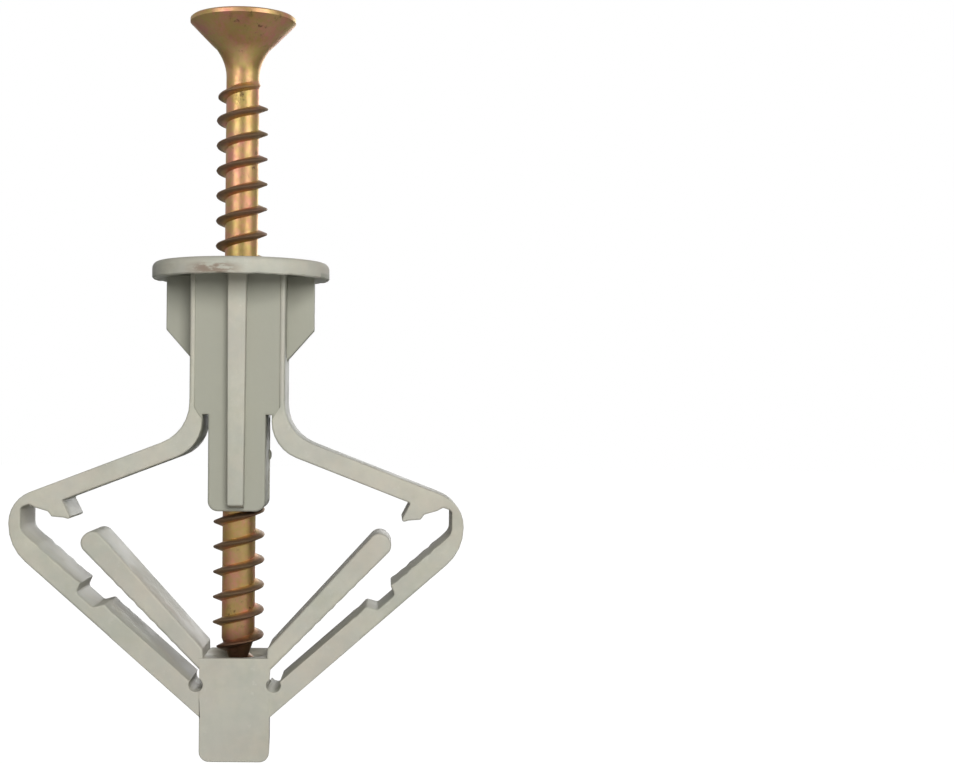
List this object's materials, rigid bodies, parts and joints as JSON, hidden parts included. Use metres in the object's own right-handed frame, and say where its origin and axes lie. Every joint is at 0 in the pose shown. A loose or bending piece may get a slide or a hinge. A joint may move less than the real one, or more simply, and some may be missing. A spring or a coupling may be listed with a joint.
{
  "type": "wall anchor",
  "caption": "Folding plastic wall anchor with spread hinged wings, snap struts and a countersunk wood screw that draws the nut block up.",
  "frame": {"origin": "on the screw's axis at the underside of the flange, where it bears on the wall", "axes": "+Z along the screw towards its head, out of the wall; +X the way the wings spread; +Y through the wings' depth"},
  "size_m": [0.0338, 0.0134, 0.0559],
  "materials": {
    "moulding": "light warm grey moulded plastic, satin",
    "plated_steel": "yellow-passivated zinc plate, iridescent gold"
  },
  "bodies": {
    "collar": {"flange": "moulding", "barrel": "moulding", "guide_tube": "moulding", "front_rib": "moulding", "back_rib": "moulding", "right_fin": "moulding", "left_fin": "moulding"},
    "nut": {"nut_block": "moulding"},
    "screw_slide": {"screw_core": "plated_steel"},
    "screw": {"screw_head": "plated_steel", "screw_shank": "plated_steel", "screw_thread": "plated_steel", "screw_point": "plated_steel"},
    "right_upper": {"right_upper_arm": "moulding", "right_catch": "moulding"},
    "right_forearm": {"right_elbow_arm": "moulding"},
    "right_foot": {"right_hip_arm": "moulding"},
    "right_stay": {"right_strut": "moulding"},
    "left_upper": {"left_upper_arm": "moulding", "left_catch": "moulding"},
    "left_forearm": {"left_elbow_arm": "moulding"},
    "left_foot": {"left_hip_arm": "moulding"},
    "left_stay": {"left_strut": "moulding"}
  },
  "joints": [
    {"name": "nut_rise", "type": "slide", "parent": "collar", "child": "nut", "axis": [0, 0, 1], "range_m": [-0.002, 0.0109], "stiffness_N_per_m": 150},
    {"name": "screw_travel", "type": "slide", "parent": "collar", "child": "screw_slide", "axis": [0, 0, -1], "range_m": [0, 0.0165]},
    {"name": "screw_turn", "type": "hinge", "parent": "screw_slide", "child": "screw", "pos_m": [0, 0, 0], "axis": [0, 0, -1], "range_deg": [-2, 3129]},
    {"name": "right_shoulder_bend", "type": "hinge", "parent": "collar", "child": "right_upper", "pos_m": [0.00335, 0, -0.0109], "axis": [0, -1, 0], "range_deg": [-6.1, 29]},
    {"name": "right_elbow_bend", "type": "hinge", "parent": "right_upper", "child": "right_forearm", "pos_m": [0.01615, 0, -0.01835], "axis": [0, -1, 0], "range_deg": [-27.6, 5.9]},
    {"name": "right_waist_bend", "type": "hinge", "parent": "right_forearm", "child": "right_foot", "pos_m": [0.01146, 0, -0.02438], "axis": [0, -1, 0], "range_deg": [-28.5, 6]},
    {"name": "right_strut_bend", "type": "hinge", "parent": "nut", "child": "right_stay", "pos_m": [0.00295, 0, -0.02875], "axis": [0, -1, 0], "range_deg": [-24, 5.2]},
    {"name": "left_shoulder_bend", "type": "hinge", "parent": "collar", "child": "left_upper", "pos_m": [-0.00335, 0, -0.0109], "axis": [0, 1, 0], "range_deg": [-6.1, 29]},
    {"name": "left_elbow_bend", "type": "hinge", "parent": "left_upper", "child": "left_forearm", "pos_m": [-0.01615, 0, -0.01835], "axis": [0, 1, 0], "range_deg": [-27.6, 5.9]},
    {"name": "left_waist_bend", "type": "hinge", "parent": "left_forearm", "child": "left_foot", "pos_m": [-0.01146, 0, -0.02438], "axis": [0, 1, 0], "range_deg": [-28.5, 6]},
    {"name": "left_strut_bend", "type": "hinge", "parent": "nut", "child": "left_stay", "pos_m": [-0.00295, 0, -0.02875], "axis": [0, 1, 0], "range_deg": [-24, 5.2]}
  ],
  "couplings": [
    {"joint": "screw_turn", "follows": "screw_travel", "rad_per_m": 3306.9},
    {"joint": "right_shoulder_bend", "follows": "nut_rise", "rad_per_m": 44.83},
    {"joint": "right_elbow_bend", "follows": "nut_rise", "rad_per_m": -42.52},
    {"joint": "right_waist_bend", "follows": "nut_rise", "rad_per_m": -44.03},
    {"joint": "right_strut_bend", "follows": "nut_rise", "rad_per_m": -36.828},
    {"joint": "left_shoulder_bend", "follows": "nut_rise", "rad_per_m": 44.83},
    {"joint": "left_elbow_bend", "follows": "nut_rise", "rad_per_m": -42.52},
    {"joint": "left_waist_bend", "follows": "nut_rise", "rad_per_m": -44.03},
    {"joint": "left_strut_bend", "follows": "nut_rise", "rad_per_m": -36.828}
  ]
}
